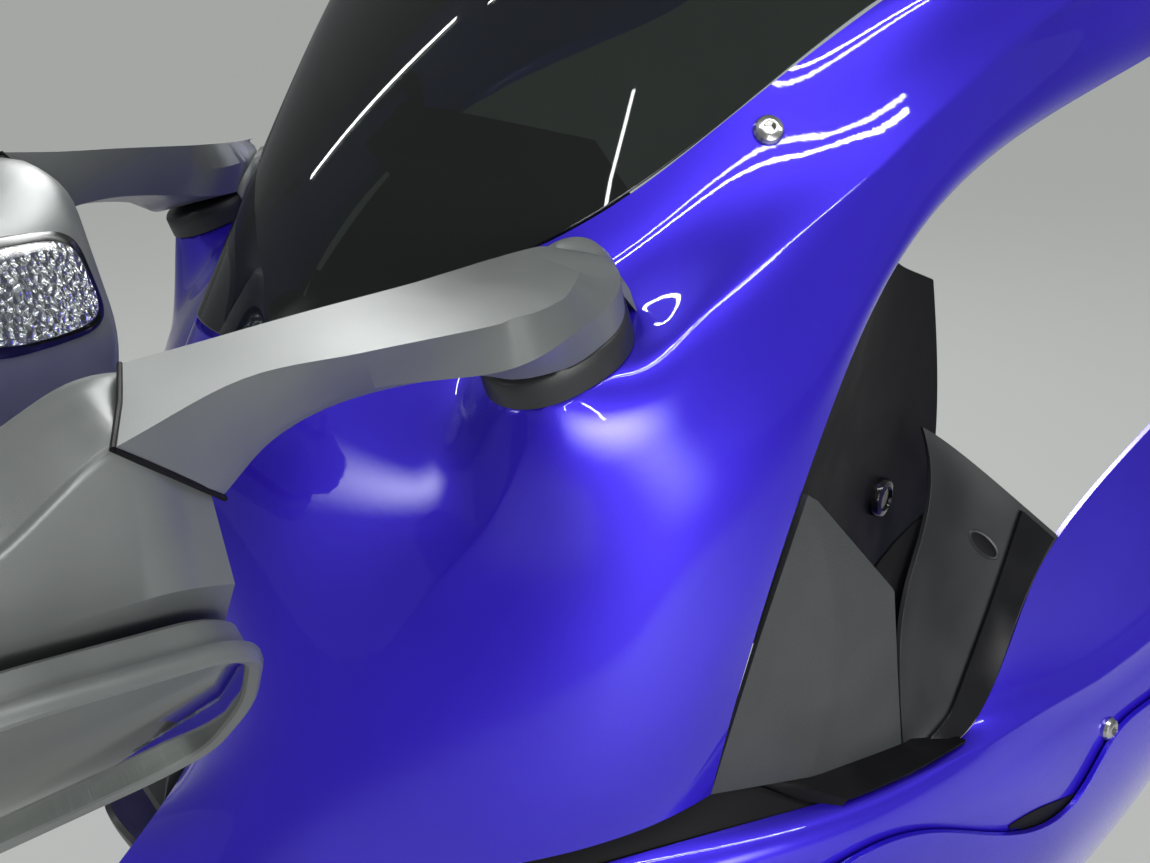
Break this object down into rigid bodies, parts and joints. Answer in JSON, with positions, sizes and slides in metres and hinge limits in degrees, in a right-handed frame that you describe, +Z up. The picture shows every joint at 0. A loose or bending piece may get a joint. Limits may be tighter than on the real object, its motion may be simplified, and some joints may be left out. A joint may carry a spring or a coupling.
{
  "type": "sport motorcycle front fairing assembly",
  "caption": "Front fairing of a sport bike: glossy cowls, smoked screen, slim mirrors that fold on pivots, headlights, intake and instrument unit on a bolt-on stay.",
  "frame": {"origin": "centre of the four stay bolts on the plate's rear face, which bolts to the steering head", "axes": "+X forward, +Y to the machine's left, +Z up"},
  "size_m": [0.7999, 0.5886, 0.7607],
  "materials": {
    "violet_paint": "pearl violet blue under clear coat, glossy",
    "smoked_screen": "smoked clear polycarbonate, glossy",
    "mirror_grey": "fine grained dark grey paint, satin",
    "grained_plastic": "coarse moulded grain, dull black",
    "black_plastic": "smooth moulded black, satin",
    "black_metal": "black powder coat",
    "stay_black": "black powder coated tube",
    "display_glass": "dark glossy display cover",
    "clear_lens": "clear moulded lens",
    "mirror_face": "first surface mirror"
  },
  "bodies": {
    "fairing": {"stay_plate": "stay_black", "stay_top_tube": "stay_black", "stay_front_tube": "stay_black", "windscreen": "smoked_screen", "nose_panel": "violet_paint", "chin_panel": "black_plastic", "intake_duct": "black_plastic", "intake_mesh": "black_metal", "instrument_unit": "black_plastic", "instrument_display": "display_glass", "cowl_left": "violet_paint", "cowl_right": "violet_paint", "side_cowl_left": "violet_paint", "side_cowl_right": "violet_paint", "side_trim_left": "grained_plastic", "side_trim_right": "grained_plastic", "recess_panel_left": "black_plastic", "recess_panel_right": "black_plastic", "inner_panel_left": "black_plastic", "inner_panel_right": "black_plastic", "side_layer_left": "violet_paint", "side_layer_right": "violet_paint", "mirror_base_left": "mirror_grey", "mirror_base_right": "mirror_grey", "headlight_body_left": "black_plastic", "headlight_body_right": "black_plastic", "headlight_lens_left": "clear_lens", "headlight_lens_right": "clear_lens", "stay_frame_left": "stay_black", "stay_frame_right": "stay_black"},
    "mirror_left": {"mirror_arm_left": "mirror_grey", "mirror_shell_left": "mirror_grey", "mirror_bezel_left": "mirror_grey", "mirror_glass_left": "mirror_face", "turn_signal_left": "clear_lens"},
    "mirror_right": {"mirror_arm_right": "mirror_grey", "mirror_shell_right": "mirror_grey", "mirror_bezel_right": "mirror_grey", "mirror_glass_right": "mirror_face", "turn_signal_right": "clear_lens"}
  },
  "joints": [
    {"name": "mirror_fold_left", "type": "hinge", "parent": "fairing", "child": "mirror_left", "pos_m": [0.181, 0.1584, 0.138], "axis": [0.3302, 0.08, 0.9405], "range_deg": [0, 85]},
    {"name": "mirror_fold_right", "type": "hinge", "parent": "fairing", "child": "mirror_right", "pos_m": [0.181, -0.1584, 0.138], "axis": [-0.3302, 0.08, -0.9405], "range_deg": [0, 130]}
  ]
}
